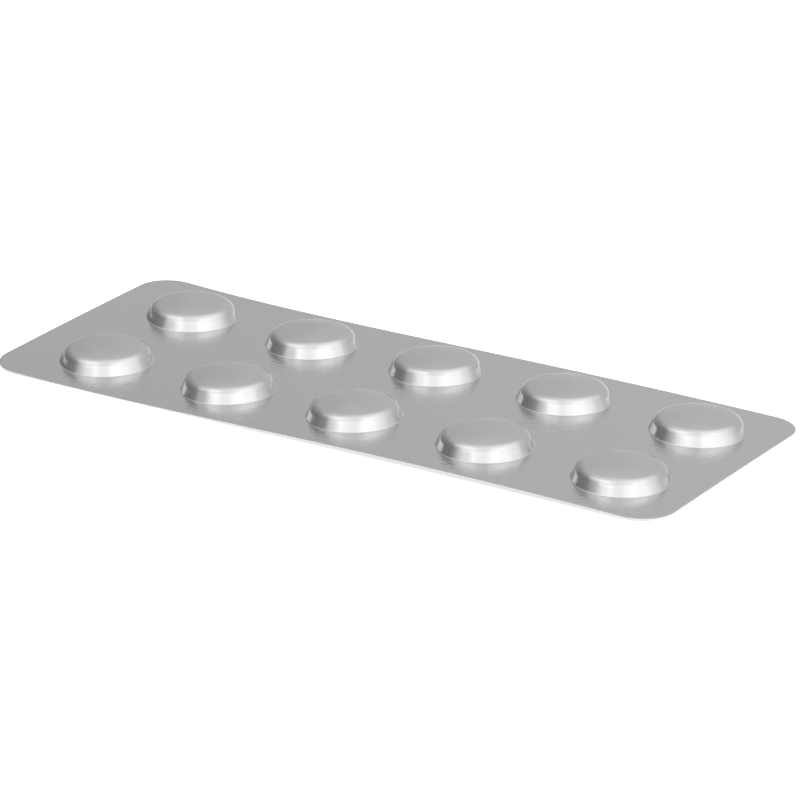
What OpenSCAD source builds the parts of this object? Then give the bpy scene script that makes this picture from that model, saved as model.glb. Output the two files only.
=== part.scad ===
// Foil blister card: a flat card of two sealed foils, with rows of round
// cold-formed pockets standing up from it.
//
// The underside lies on Z = 0 and the pockets stand up in +Z. The card's
// length runs along X and its width along Y. The origin is at the middle of
// the underside. All sizes are in millimetres and all angles in degrees.

/* [Pockets] */
// Diameter at which the line of a pocket's wall meets the card
pocket_d = 12.7; // [8:0.1:18]
// Height of a pocket above the card, at the top of its crown
pocket_h = 2.3; // [1.8:0.05:4]
// Lean of the pocket wall from upright
wall_draft = 22.5; // [2:0.5:35]
// Radius of the bend from the card into the wall
foot_r = 0.2; // [0.1:0.05:0.6]
// Radius of the shoulder from the wall into the crown
shoulder_r = 1.5; // [0.3:0.05:2]
// Slope of the crown where it leaves the shoulder
crown_slope = 9; // [2:0.5:12]

/* [Pattern] */
// Number of pockets along the card
columns = 5; // [1:1:10]
// Number of pockets across the card
rows = 2; // [1:1:4]
// Flat web between neighbouring pockets, along the card
web_x = 7.3; // [2:0.1:14]
// Flat web between neighbouring pockets, across the card
web_y = 7.3; // [2:0.1:14]

/* [Card] */
// Flat margin at the card's wide end, beside the first column
margin_start = 6.4; // [3:0.05:20]
// Flat margin at the card's narrow end, beside the last column
margin_end = 4.4; // [3:0.05:20]
// Flat margin along each long edge
margin_side = 4.05; // [3:0.05:20]
// Radius of the card's corners
corner_r = 4.85; // [1:0.05:8]
// Thickness of the formed foil
web_t = 0.15; // [0.1:0.01:0.3]
// Thickness of the lidding foil sealed under it
lid_t = 0.03; // [0.02:0.005:0.08]

/* [Lidding foil] */
// Width of the seal that stays flat inside the mouth of a pocket
lid_land = 0.5; // [0:0.05:1.5]
// Depth to which the lid dips into the mouth of a pocket
lid_dip = 0.08; // [0.02:0.01:0.12]

/* [Hidden] */
$fn = 96;

foil_colour = [0.68, 0.68, 0.69];
// Straight steps in each curve of the two profiles
foot_steps = 4;
shoulder_steps = 7;
crown_steps = 8;
dip_steps = 8;
// Depth to which a profile runs past the face that it stands on
overrun = 0.05;

card_t = web_t + lid_t;
pitch_x = pocket_d + web_x;
pitch_y = pocket_d + web_y;
card_l = margin_start + (columns - 1) * pitch_x + pocket_d + margin_end;
card_w = 2 * margin_side + (rows - 1) * pitch_y + pocket_d;
first_x = -card_l / 2 + margin_start + pocket_d / 2;
first_y = -card_w / 2 + margin_side + pocket_d / 2;

// Steepness of the wall above the card
wall_angle = 90 - wall_draft;

// The bend at the foot touches the card at foot_out and rolls up into the wall
foot_out = pocket_d / 2 + foot_r * tan(wall_angle / 2);

// The crown is a cap of a ball that leaves the shoulder at crown_slope. The
// middle of the shoulder's bend lies inside the wall's line by shoulder_r, so
// each step up moves it inwards with the draft. The cap above it rises by
// cap_rise for each unit of its radius, and the height fixes where both stop.
cap_rise = tan(crown_slope / 2);
shoulder_reach = pocket_d / 2 - shoulder_r / cos(wall_draft);
shoulder_z = (pocket_h - shoulder_r - shoulder_reach * cap_rise)
    / (1 - tan(wall_draft) * cap_rise);
shoulder_x = shoulder_reach - shoulder_z * tan(wall_draft);
cap_r = shoulder_r + shoulder_x / sin(crown_slope);

// The lid dips inside this radius
dip_r = pocket_d / 2 - lid_land;

// Points of an arc about [x, z], from one angle to another. The first point is
// left out with first = 1, where the arc follows on from another.
function arc(x, z, r, from, to, steps, first = 0) =
    [for (i = [first : steps]) let (a = from + (to - from) * i / steps)
        [x + r * cos(a), z + r * sin(a)]];

// Half profile of a pocket, with the card's top face at z = 0
function pocket_profile() = concat(
    [[0, -overrun], [foot_out, -overrun]],
    arc(foot_out, foot_r, foot_r, 270, 270 - wall_angle, foot_steps),
    arc(shoulder_x, shoulder_z, shoulder_r, wall_draft, 90 - crown_slope, shoulder_steps),
    arc(0, pocket_h - cap_r, cap_r, 90 - crown_slope, 90, crown_steps, first = 1)
);

// Half profile of the lid's dip, a shallow dish that fades out at its rim
function dip_profile() = concat(
    [[0, -overrun], [dip_r, -overrun]],
    [for (i = [0 : dip_steps]) let (s = 1 - i / dip_steps)
        [dip_r * s, lid_dip * pow(1 - s * s, 2)]]
);

// Puts its children at the centre of every pocket
module at_pockets() {
    for (i = [0 : columns - 1], j = [0 : rows - 1])
        translate([first_x + i * pitch_x, first_y + j * pitch_y, 0])
            children();
}

// Outline of the card, a rectangle with round corners
module card_outline() {
    square([card_l - 2 * corner_r, card_w], center = true);
    square([card_l, card_w - 2 * corner_r], center = true);
    for (x = [-1, 1], y = [-1, 1])
        translate([x * (card_l / 2 - corner_r), y * (card_w / 2 - corner_r)])
            circle(corner_r);
}

// Formed pocket, standing on the card's top face
module pocket() {
    translate([0, 0, card_t])
        rotate_extrude()
            polygon(pocket_profile());
}

// Space under the lid where it dips into the mouth of a pocket
module lid_dish() {
    rotate_extrude()
        polygon(dip_profile());
}

// The sealed card is one solid: both foils and what they close in
module blister_card() {
    color(foil_colour)
        difference() {
            union() {
                linear_extrude(card_t)
                    card_outline();
                at_pockets()
                    pocket();
            }
            at_pockets()
                lid_dish();
        }
}

blister_card();
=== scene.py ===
"""Foil blister card: two sealed foils with rows of round cold-formed pockets.

The card lies on its lidding foil, with its length along X and its pockets
standing up in +Z. Lengths are in metres. Angles are in radians, and in
degrees only where the studio's lights are placed.
"""
import math

import bpy
import numpy as np
from bpy.props import FloatProperty, FloatVectorProperty, IntProperty, PointerProperty
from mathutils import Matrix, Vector


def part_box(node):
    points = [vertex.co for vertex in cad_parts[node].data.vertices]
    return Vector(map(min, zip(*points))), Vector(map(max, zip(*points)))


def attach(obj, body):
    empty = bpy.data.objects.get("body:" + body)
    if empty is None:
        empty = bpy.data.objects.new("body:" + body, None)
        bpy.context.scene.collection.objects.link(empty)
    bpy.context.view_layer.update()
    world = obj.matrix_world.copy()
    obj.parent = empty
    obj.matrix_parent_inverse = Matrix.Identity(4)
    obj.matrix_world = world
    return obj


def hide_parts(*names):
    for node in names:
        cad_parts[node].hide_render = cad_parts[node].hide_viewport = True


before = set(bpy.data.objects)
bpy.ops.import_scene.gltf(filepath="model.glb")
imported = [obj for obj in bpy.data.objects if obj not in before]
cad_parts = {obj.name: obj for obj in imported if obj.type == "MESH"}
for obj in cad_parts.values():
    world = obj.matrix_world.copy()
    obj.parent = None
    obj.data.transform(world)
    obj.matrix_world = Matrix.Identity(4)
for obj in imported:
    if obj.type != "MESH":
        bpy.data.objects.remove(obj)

bl_info = {
    "name": "Foil Blister Card",
    "version": (1, 0, 0),
    "blender": (4, 5, 0),
    "location": "View3D > Sidebar > Blister",
    "description": "Builds a foil card of formed pockets, its finishes and a plain studio",
    "category": "Object",
}

MM = 0.001
UM = 0.000001
CARD_NODE = "blister_card"
CARD_LOW, CARD_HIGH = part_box(CARD_NODE)
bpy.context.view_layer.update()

# Steps of the mesh in each stretch of the sections, and along one side of a pocket's share
CROWN_STEPS, SHOULDER_STEPS, WALL_STEPS, FOOT_STEPS = 10, 10, 4, 7
DIP_STEPS = 9
SIDE_STEPS = 32
# Where the rings of the flat foils lie, as shares of the way from a pocket to the border
WEB_SPREAD = (0.04, 0.1, 0.19, 0.31, 0.45, 0.6, 0.75, 0.88, 0.94, 0.965, 0.985, 1)
LID_SPREAD = (0.06, 0.2, 0.4, 0.6, 0.8, 1)
# Waves that make up a crown's dents, and flutes of each wave round a pocket's wall
DENT_WAVES = 4
FLUTE_COUNTS = (7, 12, 17, 23)
# Points nearer than this are one point
WELD = 0.2 * UM
# The card's materials, in the order of its slots
WEB, LID, EDGE = range(3)


# Sizes, finishes and studio settings that a user would change

class CardSizes(bpy.types.PropertyGroup):
    """Sizes of the card and of its pockets"""
    length: FloatProperty(name="Length", description="Length of the card along X",
                          default=CARD_HIGH.x - CARD_LOW.x, unit="LENGTH", precision=5)
    width: FloatProperty(name="Width", description="Width of the card along Y",
                         default=CARD_HIGH.y - CARD_LOW.y, unit="LENGTH", precision=5)
    corner: FloatProperty(name="Corner Radius", description="Radius of the card's corners",
                          default=4.85 * MM, unit="LENGTH", precision=5)
    thickness: FloatProperty(name="Thickness", description="Thickness of the two sealed foils",
                             default=0.18 * MM, unit="LENGTH", precision=5)
    columns: IntProperty(name="Columns", description="Pockets along the card", default=5, min=1)
    rows: IntProperty(name="Rows", description="Pockets across the card", default=2, min=1)
    pitch: FloatProperty(name="Pitch", description="Distance between pocket centres",
                         default=20.0 * MM, unit="LENGTH", precision=5)
    wide_end: FloatProperty(name="Wide End", description="Margin beside the first column",
                            default=6.4 * MM, unit="LENGTH", precision=5)
    side: FloatProperty(name="Side Margin", description="Margin along each long edge",
                        default=4.05 * MM, unit="LENGTH", precision=5)
    pocket: FloatProperty(name="Pocket Diameter", description="Width of a pocket at the card",
                          default=12.7 * MM, unit="LENGTH", precision=5)
    draft: FloatProperty(name="Wall Draft", description="Lean of a pocket's wall",
                         default=math.radians(22.5), unit="ROTATION")
    foot: FloatProperty(name="Foot Radius", description="Bend from the card into the wall",
                        default=0.2 * MM, unit="LENGTH", precision=5)
    shoulder: FloatProperty(name="Shoulder Radius", description="Bend from the wall to the crown",
                            default=1.5 * MM, unit="LENGTH", precision=5)
    crown: FloatProperty(name="Crown Slope", description="Slope of the crown at its shoulder",
                         default=math.radians(9), unit="ROTATION")
    roll: FloatProperty(name="Edge Roll", description="Drop of the card's edge where it was cut",
                        default=0.05 * MM, unit="LENGTH", precision=5)
    roll_width: FloatProperty(name="Edge Roll Width", description="Width of the rolled edge",
                              default=0.45 * MM, unit="LENGTH", precision=5)
    dents: FloatProperty(name="Crown Dents", description="Height of the crowns' soft unevenness",
                         default=0.05 * MM, unit="LENGTH", precision=5)
    flutes: FloatProperty(name="Wall Flutes", description="Depth of the faint flutes round a wall, "
                          "for a flute one radian wide", default=0.12 * MM, unit="LENGTH",
                          precision=5)
    lid_land: FloatProperty(name="Lid Land", description="Flat seal inside a pocket's mouth",
                            default=0.5 * MM, unit="LENGTH", precision=5)
    lid_dip: FloatProperty(name="Lid Dip", description="Depth of the lid's dip in a pocket's mouth",
                           default=0.08 * MM, unit="LENGTH", precision=5)


class CardBend(bpy.types.PropertyGroup):
    """Slight lasting bend of the card, each figure its height at the card's edge"""
    twist: FloatProperty(name="Twist", description="Rise of one pair of corners over the other",
                         default=-0.242 * MM, unit="LENGTH", precision=6)
    long_bow: FloatProperty(name="Long Bow", description="Bow along the card's length",
                            default=-0.019 * MM, unit="LENGTH", precision=6)
    cross_bow: FloatProperty(name="Cross Bow", description="Bow across the card's width",
                             default=-0.084 * MM, unit="LENGTH", precision=6)
    sway: FloatProperty(name="Sway", description="S-shaped bend along the length",
                        default=-0.354 * MM, unit="LENGTH", precision=6)
    edge_bow: FloatProperty(name="Edge Bow", description="Long bow that turns over across the card",
                            default=0.162 * MM, unit="LENGTH", precision=6)
    wave: FloatProperty(name="Wave", description="W-shaped bend along the length",
                        default=0.098 * MM, unit="LENGTH", precision=6)


class FoilFinish(bpy.types.PropertyGroup):
    """Colours and gloss of the foils"""
    web: FloatVectorProperty(name="Formed Foil", description="Colour of the formed foil",
                             default=(0.65, 0.65, 0.652), subtype="COLOR", min=0, max=1)
    lid: FloatVectorProperty(name="Lidding Foil", description="Colour of the lidding foil",
                             default=(0.62, 0.62, 0.625), subtype="COLOR", min=0, max=1)
    edge: FloatVectorProperty(name="Cut Edge", description="Colour of the card's cut edge",
                              default=(0.85, 0.85, 0.85), subtype="COLOR", min=0, max=1)
    gloss: FloatProperty(name="Roughness", description="Mean roughness of the flat foil",
                         default=0.07, min=0, max=1)
    stretched: FloatProperty(name="Stretched Roughness", description="Mean roughness where the "
                             "foil is stretched over a pocket", default=0.22, min=0, max=1)
    ripple: FloatProperty(name="Ripple", description="Height of the foil's fine ripples",
                          default=45 * UM, unit="LENGTH", precision=6)
    ironed: FloatProperty(name="Ironed Share", description="Share of the ripple that is left "
                          "where the foil is stretched over a pocket", default=0.04)


class StudioSettings(bpy.types.PropertyGroup):
    """Camera and light of the plain studio"""
    azimuth: FloatProperty(name="Camera Azimuth", description="Turn of the camera round the card",
                           default=math.radians(32.61), unit="ROTATION")
    elevation: FloatProperty(name="Camera Elevation", description="Height of the camera's sight",
                             default=math.radians(20.95), unit="ROTATION")
    distance: FloatProperty(name="Camera Distance", description="From the aim to the camera",
                            default=540.4 * MM, unit="LENGTH")
    lens: FloatProperty(name="Lens", description="Focal length on a 36 mm sensor",
                        default=184.6, unit="CAMERA")
    aim_x: FloatProperty(name="Aim X", description="Where the camera looks, along the card",
                         default=2.84 * MM, unit="LENGTH", precision=5)
    aim_y: FloatProperty(name="Aim Y", description="Where the camera looks, across the card",
                         default=-1.8 * MM, unit="LENGTH", precision=5)
    aim_z: FloatProperty(name="Aim Z", description="Where the camera looks, above the floor",
                         default=0.59 * MM, unit="LENGTH", precision=5)
    room: FloatProperty(name="Room", description="Brightness of the plain room",
                        default=0.64, min=0)
    front: FloatProperty(name="Front Light", description="Broad light round the camera",
                         default=1.06, min=0)
    boxes: FloatProperty(name="Soft Boxes", description="Light of the soft boxes on both sides",
                         default=0.66, min=0)
    ceiling: FloatProperty(name="Ceiling", description="Light from above and behind",
                           default=0.31, min=0)
    gap: FloatProperty(name="Camera Gap", description="Light that the camera's gap takes away",
                       default=0.36, min=0)
    horizon: FloatProperty(name="Low Front", description="Light that is missing low in front",
                           default=0.6, min=0)
    dark: FloatProperty(name="Dark Side", description="Share of light lost on the far left",
                        default=0.69, min=0, max=1)
    white: FloatProperty(name="Floor White", description="Share of plain white in the floor "
                         "as the camera sees it", default=0.6, min=0, max=1)
    floor: FloatVectorProperty(name="Floor", description="Colour of the floor",
                               default=(0.95, 0.95, 0.95), subtype="COLOR", min=0, max=1)


# Shape of the card

def bend_height(bend, sizes, x, y):
    """Height of the bent card over its mean plane, and its slopes along X and Y."""
    u = x / (sizes.length / 2)
    v = y / (sizes.width / 2)
    # Legendre polynomials, which are 1 at the end that u or v counts towards
    bow_u, bow_v = (3 * u * u - 1) / 2, (3 * v * v - 1) / 2
    sway_u = (5 * u ** 3 - 3 * u) / 2
    wave_u = (35 * u ** 4 - 30 * u * u + 3) / 8
    height = (bend.twist * u * v + bend.long_bow * bow_u + bend.cross_bow * bow_v
              + bend.sway * sway_u + bend.edge_bow * bow_u * v + bend.wave * wave_u)
    along = (bend.twist * v + bend.long_bow * 3 * u + bend.sway * (15 * u * u - 3) / 2
             + bend.edge_bow * 3 * u * v + bend.wave * (140 * u ** 3 - 60 * u) / 8)
    across = bend.twist * u + bend.cross_bow * 3 * v + bend.edge_bow * bow_u
    return height, along / (sizes.length / 2), across / (sizes.width / 2)


def arc_rings(radius, height, bend_r, start, end, steps, inward=False):
    """Rings of an arc in the pocket's section, as radius, height and normal."""
    side = -1 if inward else 1
    rings = []
    for k in range(steps + 1):
        a = start + (end - start) * k / steps
        rings.append((radius + bend_r * math.cos(a), height + bend_r * math.sin(a),
                      side * math.cos(a), side * math.sin(a)))
    return rings


def pocket_section(sizes):
    """Rings of a pocket from the middle of its crown out to the flat card."""
    half_turn, quarter = math.pi, math.pi / 2
    pocket_h = CARD_HIGH.z - CARD_LOW.z - sizes.thickness
    cap_rise = math.tan(sizes.crown / 2)
    reach = sizes.pocket / 2 - sizes.shoulder / math.cos(sizes.draft)
    shoulder_z = ((pocket_h - sizes.shoulder - reach * cap_rise)
                  / (1 - math.tan(sizes.draft) * cap_rise))
    shoulder_x = reach - shoulder_z * math.tan(sizes.draft)
    cap_r = sizes.shoulder + shoulder_x / math.sin(sizes.crown)
    wall_angle = quarter - sizes.draft
    foot_out = sizes.pocket / 2 + sizes.foot * math.tan(wall_angle / 2)
    crown = arc_rings(0, pocket_h - cap_r, cap_r, quarter, quarter - sizes.crown, CROWN_STEPS)
    shoulder = arc_rings(shoulder_x, shoulder_z, sizes.shoulder, quarter - sizes.crown,
                         sizes.draft, SHOULDER_STEPS)
    foot = arc_rings(foot_out, sizes.foot, sizes.foot, half_turn + sizes.draft,
                     half_turn + quarter, FOOT_STEPS, inward=True)
    wall = []
    for k in range(1, WALL_STEPS):
        t = k / WALL_STEPS
        wall.append(tuple(a * (1 - t) + b * t for a, b in zip(shoulder[-1], foot[0])))
    return np.array(crown + shoulder[1:] + wall + foot)


def lid_section(sizes):
    """Rings of the lid's dip from its middle out to the flat seal."""
    dip_r = sizes.pocket / 2 - sizes.lid_land
    rings = []
    for k in range(DIP_STEPS + 1):
        s = k / DIP_STEPS
        slope = -4 * sizes.lid_dip * s * (1 - s * s) / dip_r
        rings.append((dip_r * s, sizes.lid_dip * (1 - s * s) ** 2, slope, -1))
    return np.array(rings)


def round_corner(point, half, corner):
    """A point of the card's rectangle, moved onto its round corner if it is in one."""
    past = abs(point) - half + corner
    if past.min() <= 0:
        return point
    turn = math.pi / 4 * (1 + (past[1] - past[0]) / corner)
    arc = np.array([math.cos(turn), math.sin(turn)])
    return np.sign(point) * (half - corner + corner * arc)


def share_border(low, high, half, corner):
    """Points round one pocket's share of the card, and which stretches are the card's edge."""
    corners = np.array([low, (high[0], low[1]), high, (low[0], high[1])])
    at_edge = [-low[1] >= half[1], high[0] >= half[0], high[1] >= half[1], -low[0] >= half[0]]
    points = []
    for k in range(4):
        start, end = corners[k], corners[(k + 1) % 4]
        for i in range(SIDE_STEPS):
            points.append(round_corner(start + (end - start) * i / SIDE_STEPS, half, corner))
    return np.array(points), np.repeat(at_edge, SIDE_STEPS)


def share_rings(section, centre, border, spread, flat_z, flat_normal):
    """Points and normals in rings from a pocket's axis out to the border of its share."""
    count = len(border)
    # The rings start where the border does, towards the corner that is low in X and Y
    turn = -3 * math.pi / 4 + 2 * math.pi * np.arange(count) / count
    ring_dir = np.stack([np.cos(turn), np.sin(turn)], 1)
    places = [[[centre[0], centre[1], section[0][1]]]]
    normals = [[[0.0, 0.0, flat_normal]]]
    for r, z, nr, nz in section[1:]:
        places.append(np.column_stack([centre + r * ring_dir, np.full(count, z)]))
        normals.append(np.column_stack([nr * ring_dir, np.full(count, nz)]))
    inner = centre + section[-1][0] * ring_dir
    for t in spread:
        flat = inner * (1 - t) + border * t
        places.append(np.column_stack([flat, np.full(count, flat_z)]))
        normals.append(np.tile([0.0, 0.0, flat_normal], (count, 1)))
    return np.concatenate(places), np.concatenate(normals)


def roll_edge(places, normals, half, sizes):
    """Lower the formed foil towards the card's outline, as the cutting die leaves it."""
    past = abs(places[:, :2]) - half + sizes.corner
    in_corner = np.maximum(past, 0)
    distance = np.linalg.norm(in_corner, axis=1)
    depth = sizes.corner - np.where(distance > 0, distance, past.max(axis=1))
    share = np.clip(1 - depth / sizes.roll_width, 0, 1)
    outward = np.sign(places[:, :2]) * in_corner / np.maximum(distance, UM)[:, None]
    slope = 2 * sizes.roll / sizes.roll_width * share * normals[:, 2]
    places[:, 2] -= sizes.roll * share ** 2
    normals[:, :2] += outward * slope[:, None]


def dent_crown(places, normals, centre, reach, depth, chance):
    """Soft unevenness of a crown: a few crossing waves that fade out at its shoulder."""
    offset = places[:, :2] - centre
    inside = np.maximum(1 - (offset ** 2).sum(axis=1) / reach ** 2, 0)
    fade, fade_slope = inside ** 2, -4 * offset * inside[:, None] / reach ** 2
    for _ in range(DENT_WAVES):
        turn = chance.uniform(0, 2 * math.pi)
        pace = 2 * math.pi / chance.uniform(0.9 * reach, 1.5 * reach)
        ahead = pace * np.array([math.cos(turn), math.sin(turn)])
        phase = offset @ ahead + chance.uniform(0, 2 * math.pi)
        slope = (np.sin(phase)[:, None] * fade_slope
                 + (np.cos(phase) * fade)[:, None] * ahead) * depth / 2
        places[:, 2] += np.sin(phase) * fade * depth / 2
        normals[:, :2] -= slope * normals[:, 2:]


def flute_wall(places, normals, centre, depth, chance):
    """Faint upright flutes round a pocket's wall, where the foil was drawn over the punch."""
    offset = places[:, :2] - centre
    radius = np.linalg.norm(offset, axis=1)
    out = offset / radius[:, None]
    side = np.column_stack([-out[:, 1], out[:, 0]])
    turn = np.arctan2(out[:, 1], out[:, 0])
    upright = np.linalg.norm(normals[:, :2], axis=1) ** 2
    for flutes in FLUTE_COUNTS:
        phase = flutes * turn + chance.uniform(0, 2 * math.pi)
        places[:, :2] += out * (upright * np.sin(phase) * depth / flutes)[:, None]
        normals[:, :2] -= side * (upright * np.cos(phase) * depth / radius)[:, None]


def ring_faces(rings, count, first, upward):
    """Faces between rings of points, with a fan of triangles round the middle point."""
    faces = []
    for k in range(count):
        n = (k + 1) % count
        faces.append((first, first + 1 + k, first + 1 + n))
        for r in range(rings - 1):
            a = first + 1 + r * count
            b = a + count
            faces.append((a + k, b + k, b + n, a + n))
    return faces if upward else [tuple(reversed(f)) for f in faces]


def pattern_line(start, count, pitch, half):
    """Centres of the pockets in one direction, and the borders of their shares."""
    centres = [start + k * pitch for k in range(count)]
    return centres, [-half] + [c + pitch / 2 for c in centres[:-1]] + [half]


def build_card_mesh(sizes):
    """Closed mesh of the card: formed foil on top, lidding foil below, and the cut edge."""
    count = 4 * SIDE_STEPS
    half = np.array([sizes.length / 2, sizes.width / 2])
    first = -half + np.array([sizes.wide_end, sizes.side]) + sizes.pocket / 2
    centres_x, cuts_x = pattern_line(first[0], sizes.columns, sizes.pitch, half[0])
    centres_y, cuts_y = pattern_line(first[1], sizes.rows, sizes.pitch, half[1])
    web_section, dip_section = pocket_section(sizes), lid_section(sizes)
    web_section[:, 1] += sizes.thickness
    chance = np.random.default_rng(7)
    places, normals, formed, faces, finish = [], [], [], [], []
    total = 0
    for i, cx in enumerate(centres_x):
        for j, cy in enumerate(centres_y):
            centre = np.array([cx, cy])
            border, at_edge = share_border((cuts_x[i], cuts_y[j]),
                                           (cuts_x[i + 1], cuts_y[j + 1]), half, sizes.corner)
            rims = []
            for foil, section, spread, flat_z, up in (
                    (WEB, web_section, WEB_SPREAD, sizes.thickness, 1.0),
                    (LID, dip_section, LID_SPREAD, 0.0, -1.0)):
                share, tilt = share_rings(section, centre, border, spread, flat_z, up)
                if foil == WEB:
                    dent_crown(share, tilt, centre, section[CROWN_STEPS][0], sizes.dents, chance)
                    flute_wall(share[1:], tilt[1:], centre, sizes.flutes, chance)
                    roll_edge(share, tilt, half, sizes)
                part = ring_faces(len(share) // count, count, total, foil == WEB)
                faces += part
                finish += [foil] * len(part)
                places.append(share)
                normals.append(tilt)
                # The foil counts as stretched up to the last ring before the flat
                formed.append(np.ones(1 + (len(section) - 2) * count))
                formed.append(np.zeros((len(spread) + 1) * count))
                total += len(share)
                rims.append(total - count)
            # The outer rings of both foils are joined where they lie on the card's outline
            top, low = rims
            for k in np.flatnonzero(at_edge):
                n = (k + 1) % count
                faces.append((low + k, low + n, top + n, top + k))
                finish.append(EDGE)
    return (np.concatenate(places), np.concatenate(normals), np.concatenate(formed), faces,
            finish)


def corner_normals(faces, finish, places, normals, slopes, welded):
    """Normal of each face at each of its corners, tilted with the bend of the card."""
    corners = []
    for face, kind in zip(faces, finish):
        if kind == EDGE:
            a, b = places[face[0]], places[face[1]]
            out = np.array([b[1] - a[1], a[0] - b[0], 0.0])
            corners += [tuple(out / np.linalg.norm(out))] * len(face)
            continue
        for v in face:
            normal = normals[v].copy()
            normal[:2] -= slopes[welded[v]] * normal[2]
            corners.append(tuple(normal / np.linalg.norm(normal)))
    return corners


class BLISTER_OT_card(bpy.types.Operator):
    """Build the sealed card with its formed pockets"""
    bl_idname = "blister.card"
    bl_label = "Blister Card"

    def execute(self, context):
        scene = context.scene
        sizes, bend = scene.blister_sizes, scene.blister_bend
        places, normals, formed, faces, finish = build_card_mesh(sizes)
        # Neighbouring shares meet in points that are merged here
        keys = np.round(places / WELD).astype(np.int64)
        _, order, welded = np.unique(keys, axis=0, return_index=True, return_inverse=True)
        welded = welded.reshape(-1)
        points = places[order]
        lift, along, across = bend_height(bend, sizes, points[:, 0], points[:, 1])
        points[:, 2] += lift - lift.min()
        mesh = bpy.data.meshes.new("sealed_card")
        mesh.from_pydata(points.tolist(), [], [tuple(welded[list(f)]) for f in faces])
        mesh.attributes.new("formed", "FLOAT", "POINT").data.foreach_set("value", formed[order])
        mesh.polygons.foreach_set("material_index", finish)
        mesh.polygons.foreach_set("use_smooth", [True] * len(faces))
        slopes = np.column_stack([along, across])
        mesh.normals_split_custom_set(corner_normals(faces, finish, places, normals, slopes,
                                                     welded))
        for material in (formed_foil, lidding_foil, cut_edge):
            mesh.materials.append(material(scene.blister_finish))
        card = bpy.data.objects.new("sealed_card", mesh)
        scene.collection.objects.link(card)
        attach(card, "root")
        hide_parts(CARD_NODE)
        return {"FINISHED"}


# Nodes that the finishes and the studio share

def ramp(tree, value, low, high, start=0, end=1, smooth=False):
    """The value's stretch from start to end turned into low to high, and held beyond."""
    node = tree.nodes.new("ShaderNodeMapRange")
    node.interpolation_type = "SMOOTHSTEP" if smooth else "LINEAR"
    for name, number in (("From Min", start), ("From Max", end), ("To Min", low),
                         ("To Max", high)):
        node.inputs[name].default_value = number
    tree.links.new(value, node.inputs["Value"])
    return node.outputs["Result"]


def combine(tree, operation, first, second):
    """Two values joined by a step of arithmetic."""
    node = tree.nodes.new("ShaderNodeMath")
    node.operation = operation
    tree.links.new(first, node.inputs[0])
    tree.links.new(second, node.inputs[1])
    return node.outputs["Value"]


# Finishes

def new_finish(name, colour, metallic=0):
    """A new material of one colour, with its nodes and its shader."""
    material = bpy.data.materials.new(name)
    material.use_nodes = True
    tree = material.node_tree
    shader = tree.nodes["Principled BSDF"]
    shader.inputs["Base Color"].default_value = (*colour, 1)
    shader.inputs["Metallic"].default_value = metallic
    return material, tree, shader


def grain(tree, size, stretch=(1, 1, 1), detail=2.0):
    """Noise over the piece, with grains of about the given size."""
    nodes, links = tree.nodes, tree.links
    place = nodes.new("ShaderNodeTexCoord")
    scale = nodes.new("ShaderNodeMapping")
    scale.inputs["Scale"].default_value = [1 / (size * s) for s in stretch]
    noise = nodes.new("ShaderNodeTexNoise")
    noise.inputs["Scale"].default_value = 1
    noise.inputs["Detail"].default_value = detail
    links.new(place.outputs["Object"], scale.inputs["Vector"])
    links.new(scale.outputs["Vector"], noise.inputs["Vector"])
    return noise.outputs["Fac"]


def raise_grain(tree, height, depth, under=None, share=None):
    """Bump of the given depth from a height, in a share and on top of another bump if given."""
    bump = tree.nodes.new("ShaderNodeBump")
    bump.inputs["Distance"].default_value = depth
    tree.links.new(height, bump.inputs["Height"])
    if share is not None:
        tree.links.new(share, bump.inputs["Strength"])
    if under is not None:
        tree.links.new(under, bump.inputs["Normal"])
    return bump.outputs["Normal"]


def formed_foil(finish):
    """Bright rolled aluminium, a little rippled by the forming."""
    material, tree, shader = new_finish("formed_foil", finish.web, metallic=1)
    formed = tree.nodes.new("ShaderNodeAttribute")
    formed.attribute_name = "formed"
    haze = ramp(tree, grain(tree, 2.5 * MM, detail=1), 0.92, 1.08)
    mean = ramp(tree, formed.outputs["Fac"], finish.gloss, finish.stretched)
    tree.links.new(combine(tree, "MULTIPLY", haze, mean), shader.inputs["Roughness"])
    strength = ramp(tree, formed.outputs["Fac"], 1, finish.ironed)
    ripple = raise_grain(tree, grain(tree, 0.3 * MM, (3, 1, 1)), finish.ripple, share=strength)
    tree.links.new(ripple, shader.inputs["Normal"])
    return material


def lidding_foil(finish):
    """Smooth hard foil with fine rolling lines along the card."""
    material, tree, shader = new_finish("lidding_foil", finish.lid, metallic=1)
    lines = grain(tree, 0.12 * MM, (40, 1, 1))
    tree.links.new(ramp(tree, lines, 0.18, 0.3), shader.inputs["Roughness"])
    rolled = raise_grain(tree, lines, 1 * UM)
    rippled = raise_grain(tree, grain(tree, 1.2 * MM), 8 * UM, rolled)
    tree.links.new(rippled, shader.inputs["Normal"])
    return material


def cut_edge(finish):
    """Sheared edge of the two foils and the film between them."""
    material, tree, shader = new_finish("cut_edge", finish.edge)
    fine = grain(tree, 0.05 * MM)
    tree.links.new(ramp(tree, fine, 0.35, 0.6), shader.inputs["Roughness"])
    tree.links.new(raise_grain(tree, fine, 2 * UM), shader.inputs["Normal"])
    return material


# Studio

def towards(azimuth, elevation):
    """Direction from the card, where azimuth 0 is -Y."""
    return Vector((math.sin(azimuth) * math.cos(elevation),
                   -math.cos(azimuth) * math.cos(elevation), math.sin(elevation)))


def dot_with(tree, direction):
    """How closely the sight of the surround follows a direction, 1 where it is the same."""
    ray = tree.nodes.new("ShaderNodeTexCoord")
    node = tree.nodes.new("ShaderNodeVectorMath")
    node.operation = "DOT_PRODUCT"
    node.inputs[1].default_value = direction
    tree.links.new(ray.outputs["Generated"], node.inputs[0])
    return node.outputs["Value"]


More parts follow.
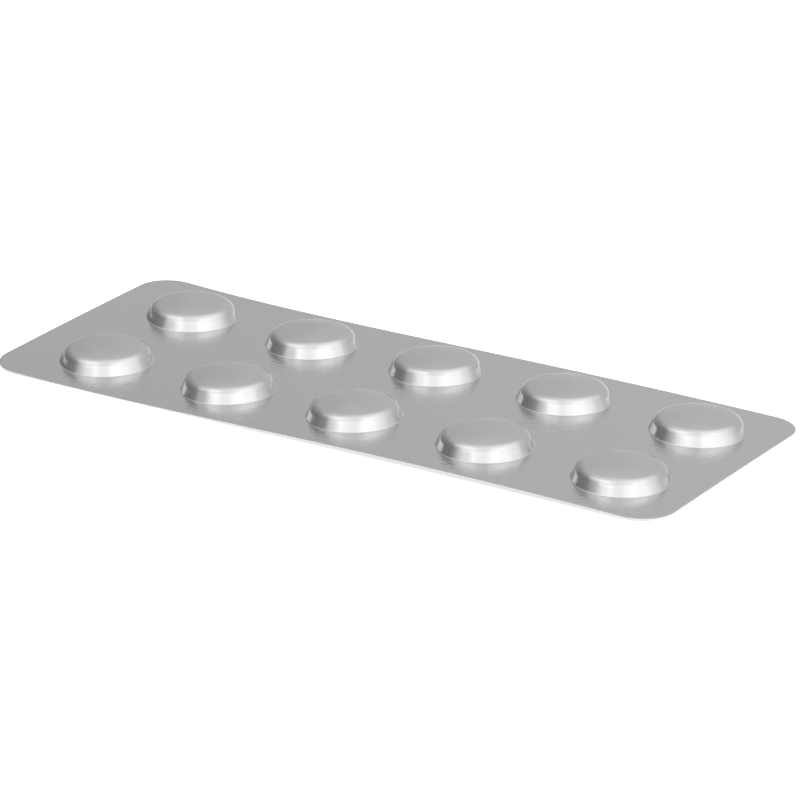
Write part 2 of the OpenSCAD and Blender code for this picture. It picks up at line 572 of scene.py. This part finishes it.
def glow(tree, direction, reach, gain, core=0):
    """Round light, full up to core degrees from a direction and gone at reach degrees."""
    return ramp(tree, dot_with(tree, direction), 0, gain, math.cos(math.radians(reach)),
                math.cos(math.radians(core)), smooth=True)


def surround(studio):
    """A plain room, brightest round the camera, with soft boxes on both sides of it."""
    world = bpy.data.worlds.new("studio")
    world.use_nodes = True
    tree = world.node_tree

    def at(right, up):
        """Direction some degrees to the right of the camera's and some above level."""
        return towards(studio.azimuth + math.radians(right), math.radians(up))

    # The broad light round the camera, the soft boxes and the ceiling
    level = ramp(tree, dot_with(tree, at(6, -6)), studio.room, studio.room + studio.front,
                 math.cos(math.radians(119)), 1, smooth=True)
    low_left = glow(tree, at(-53, 25), 32, studio.boxes)
    high_left = glow(tree, at(-93, 60), 26, studio.boxes * 0.95)
    high_right = glow(tree, at(105, 55), 38, studio.boxes * 0.38, core=7)
    ceiling = glow(tree, at(-134, 87), 58, studio.ceiling, core=24)
    for light in (low_left, high_left, high_right, ceiling):
        level = combine(tree, "ADD", level, light)

    # The far left is dark
    dark = glow(tree, at(-101, -10), 97, studio.dark)
    level = combine(tree, "SUBTRACT", level, combine(tree, "MULTIPLY", level, dark))

    # A gap between the lights, upright through the camera, and a smaller one above it
    side = tree.nodes.new("ShaderNodeMath")
    side.operation = "ABSOLUTE"
    tree.links.new(dot_with(tree, at(87, 0)), side.inputs[0])
    narrow = ramp(tree, side.outputs["Value"], studio.gap, 0, 0, 0.42, smooth=True)
    ahead = dot_with(tree, at(-3, 0))
    gap = combine(tree, "MULTIPLY", narrow, ramp(tree, ahead, 0, 1, 0, 0.5, smooth=True))
    high_gap = glow(tree, at(-3, 66), 24, studio.gap * 0.4)

    # The lights in front end a little above the floor
    low = ramp(tree, dot_with(tree, (0, 0, 1)), studio.horizon, 0, 0.2, 0.35, smooth=True)
    below = combine(tree, "MULTIPLY", low, ramp(tree, ahead, 0, 1, 0.45, 0.8, smooth=True))
    for shade in (gap, high_gap, below):
        level = combine(tree, "SUBTRACT", level, shade)
    tree.links.new(level, tree.nodes["Background"].inputs["Strength"])
    tree.nodes["Background"].inputs["Color"].default_value = (1, 1, 1, 1)
    return world


class BLISTER_OT_stage(bpy.types.Operator):
    """Lay the floor, and set the camera and the soft light"""
    bl_idname = "blister.stage"
    bl_label = "Studio"

    def execute(self, context):
        scene = context.scene
        studio = scene.blister_studio
        floor_half = 3.0
        mesh = bpy.data.meshes.new("floor")
        corners = [(-1, -1), (1, -1), (1, 1), (-1, 1)]
        mesh.from_pydata([(x * floor_half, y * floor_half, 0) for x, y in corners], [],
                         [(0, 1, 2, 3)])
        floor = bpy.data.objects.new("floor", mesh)
        scene.collection.objects.link(floor)
        material, tree, shader = new_finish("pale_floor", studio.floor)
        shader.inputs["Roughness"].default_value = 1
        shader.inputs["Specular IOR Level"].default_value = 0
        ray = tree.nodes.new("ShaderNodeLightPath")
        shader.inputs["Emission Color"].default_value = (1, 1, 1, 1)
        tree.links.new(ramp(tree, ray.outputs["Is Camera Ray"], 0, studio.white),
                       shader.inputs["Emission Strength"])
        mesh.materials.append(material)

        scene.world = surround(studio)

        aim = Vector((studio.aim_x, studio.aim_y, studio.aim_z))
        camera = bpy.data.cameras.new("camera")
        camera.sensor_width = 36
        camera.lens = studio.lens
        camera.clip_start = 0.01
        camera.clip_end = 20
        viewer = bpy.data.objects.new("camera", camera)
        viewer.location = aim + towards(studio.azimuth, studio.elevation) * studio.distance
        viewer.rotation_mode = "QUATERNION"
        viewer.rotation_quaternion = (aim - viewer.location).to_track_quat("-Z", "Y")
        scene.collection.objects.link(viewer)
        scene.camera = viewer
        scene.view_settings.view_transform = "Standard"
        return {"FINISHED"}


class BLISTER_PT_panel(bpy.types.Panel):
    """Lists the operators and their settings"""
    bl_label = "Blister Card"
    bl_idname = "BLISTER_PT_panel"
    bl_space_type = "VIEW_3D"
    bl_region_type = "UI"
    bl_category = "Blister"

    def draw(self, context):
        layout = self.layout
        scene = context.scene
        for group in (scene.blister_sizes, scene.blister_bend, scene.blister_finish,
                      scene.blister_studio):
            box = layout.box()
            for key in group.__annotations__:
                box.prop(group, key)
        layout.operator(BLISTER_OT_card.bl_idname)
        layout.operator(BLISTER_OT_stage.bl_idname)


CLASSES = (CardSizes, CardBend, FoilFinish, StudioSettings, BLISTER_OT_card, BLISTER_OT_stage,
           BLISTER_PT_panel)
GROUPS = {
    "blister_sizes": CardSizes,
    "blister_bend": CardBend,
    "blister_finish": FoilFinish,
    "blister_studio": StudioSettings,
}


def register():
    for cls in CLASSES:
        bpy.utils.register_class(cls)
    for name, group in GROUPS.items():
        setattr(bpy.types.Scene, name, PointerProperty(type=group))


def unregister():
    for name in GROUPS:
        delattr(bpy.types.Scene, name)
    for cls in reversed(CLASSES):
        bpy.utils.unregister_class(cls)


def main():
    register()
    bpy.ops.blister.card()
    bpy.ops.blister.stage()


if __name__ == "__main__":
    main()
